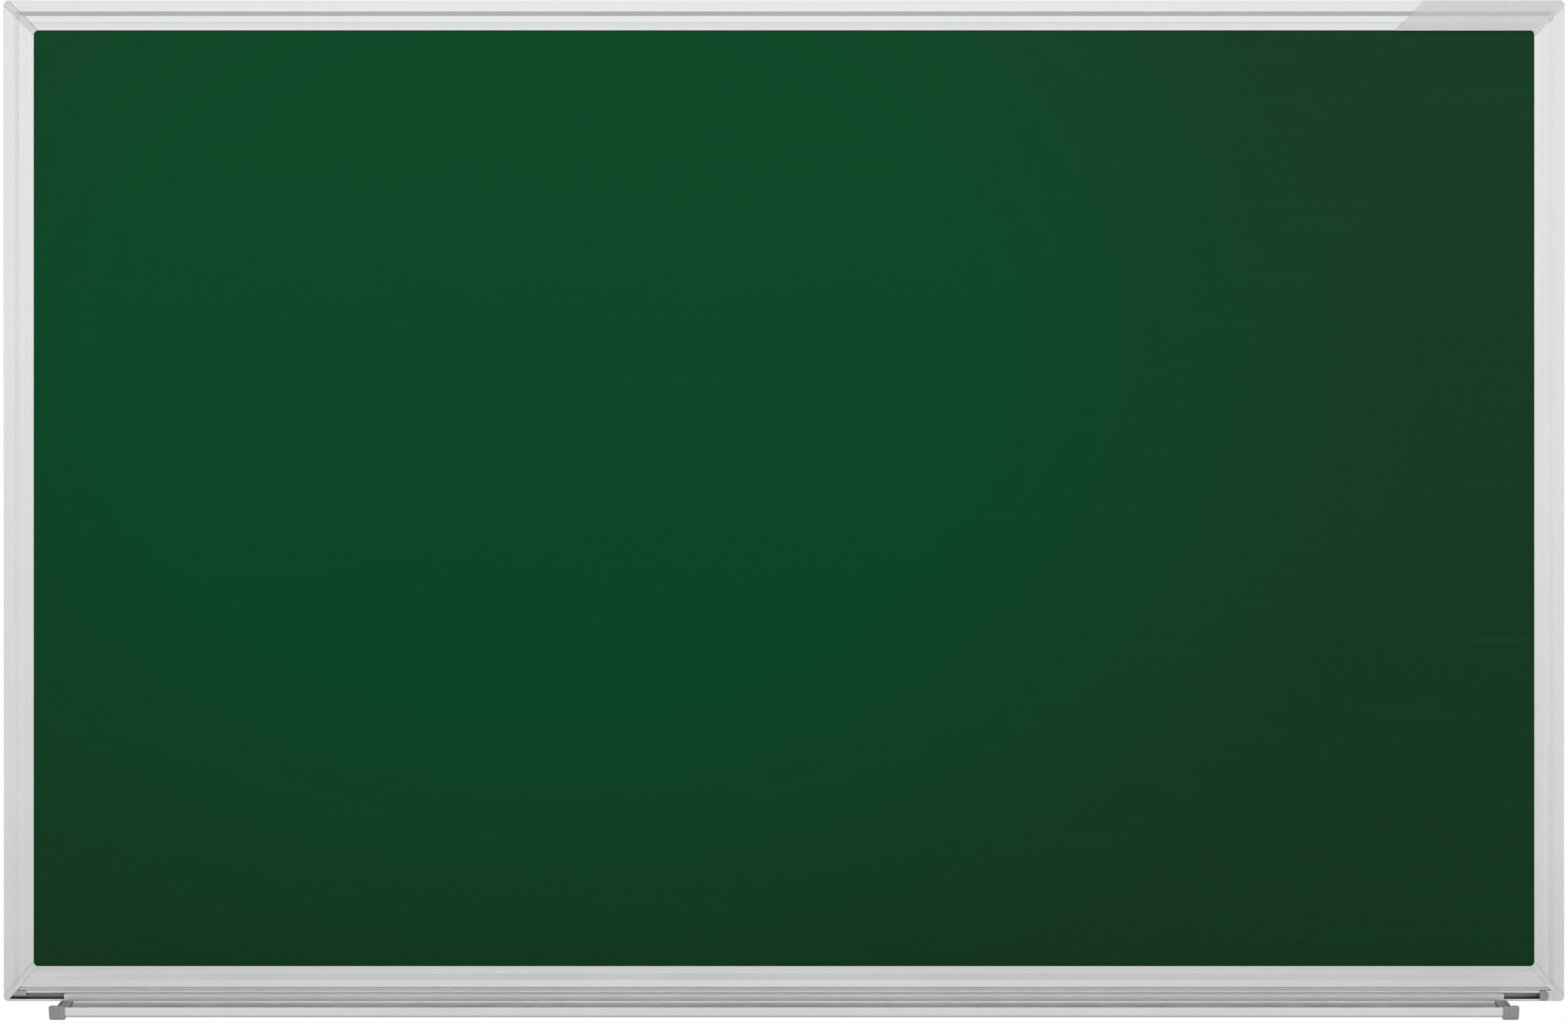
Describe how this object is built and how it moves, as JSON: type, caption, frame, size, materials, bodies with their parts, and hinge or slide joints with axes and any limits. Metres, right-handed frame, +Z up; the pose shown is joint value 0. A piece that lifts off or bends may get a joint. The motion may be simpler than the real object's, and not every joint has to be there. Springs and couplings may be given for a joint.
{
  "type": "framed chalkboard",
  "caption": "Wall chalkboard: a green steel writing panel in a mitred aluminium frame with plastic corners, and a chalk tray that slides along a channel in the bottom profile.",
  "frame": {"origin": "on the wall plane, in the middle of the top profile's wall flange", "axes": "+X to the right as seen from the front, +Y into the wall, +Z up"},
  "size_m": [1.5, 0.0739, 0.9739],
  "materials": {
    "anodised_aluminium": "satin silver anodised",
    "corner_plastic": "fine matt",
    "cover_plastic": "fine matt",
    "grey_plastic": "fine matt",
    "green_enamel": "matt enamel",
    "chipboard": "raw",
    "galvanised_steel": "galvanised sheet",
    "zinc_plated_steel": "bright zinc plated"
  },
  "bodies": {
    "board": {"writing_sheet": "green_enamel", "panel_core": "chipboard", "backing_sheet": "galvanised_steel", "frame_top": "anodised_aluminium", "frame_right": "anodised_aluminium", "frame_bottom": "anodised_aluminium", "frame_left": "anodised_aluminium", "corner_top_right": "corner_plastic", "corner_bottom_right": "corner_plastic", "corner_bottom_left": "corner_plastic", "corner_top_left": "corner_plastic", "corner_cover": "cover_plastic", "corner_screw_top_right_1": "zinc_plated_steel", "corner_screw_top_right_2": "zinc_plated_steel", "corner_screw_bottom_right_1": "zinc_plated_steel", "corner_screw_bottom_right_2": "zinc_plated_steel", "corner_screw_bottom_left_1": "zinc_plated_steel", "corner_screw_bottom_left_2": "zinc_plated_steel", "corner_screw_top_left_1": "zinc_plated_steel", "corner_screw_top_left_2": "zinc_plated_steel", "channel_plug_right": "grey_plastic", "channel_filler_left": "grey_plastic", "wall_bracket_upper_left": "zinc_plated_steel", "wall_bracket_upper_right": "zinc_plated_steel", "wall_bracket_lower_left": "zinc_plated_steel", "wall_bracket_lower_right": "zinc_plated_steel"},
    "tray": {"chalk_tray": "anodised_aluminium", "tray_cap_left": "grey_plastic", "tray_cap_right": "grey_plastic"}
  },
  "joints": [
    {"name": "tray_slide", "type": "slide", "parent": "board", "child": "tray", "axis": [1, 0, 0], "range_m": [-0.034, 0.034]}
  ]
}
